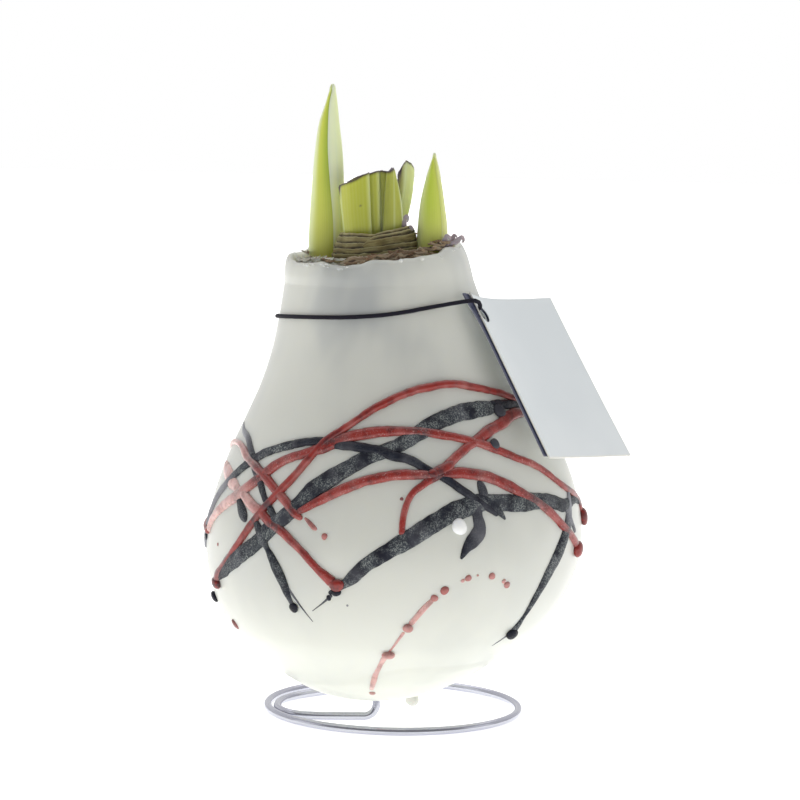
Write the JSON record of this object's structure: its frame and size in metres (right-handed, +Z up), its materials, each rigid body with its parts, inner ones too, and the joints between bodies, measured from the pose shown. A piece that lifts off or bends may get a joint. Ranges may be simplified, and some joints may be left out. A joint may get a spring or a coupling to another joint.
{
  "type": "waxed amaryllis bulb",
  "caption": "Amaryllis bulb in white wax with poured red and navy threads, on a wire ring stand, with green shoots and cut leaf bases, and a blank card on an elastic.",
  "frame": {"origin": "middle of the object's box in plan, on the surface that the wire ring stands on", "axes": "+Z up, -Y towards the front that the picture shows, +X to the right, where the card hangs"},
  "size_m": [0.1075, 0.0962, 0.1622],
  "materials": {
    "steel_wire": "drawn steel wire, satin",
    "wax": "poured paraffin wax, soft gloss",
    "dry_scales": "dry papery bulb scales",
    "green_leaf": "fresh leaf, waxy",
    "pale_leaf": "fresh leaf, pale and waxy",
    "elastic": "round woven elastic",
    "card": "coated card, satin"
  },
  "bodies": {
    "root": {"wire_stand": "steel_wire", "wax_coat": "wax", "bulb": "dry_scales", "tall_leaf_left": "green_leaf", "tall_leaf_right": "pale_leaf", "short_leaf_left": "green_leaf", "short_leaf_right": "pale_leaf", "cut_leaf_front": "green_leaf", "cut_leaf_second": "green_leaf", "cut_leaf_inner": "green_leaf", "cut_leaf_right": "green_leaf", "cut_leaf_back": "green_leaf", "elastic_cord": "elastic", "tag": "card"}
  },
  "joints": []
}
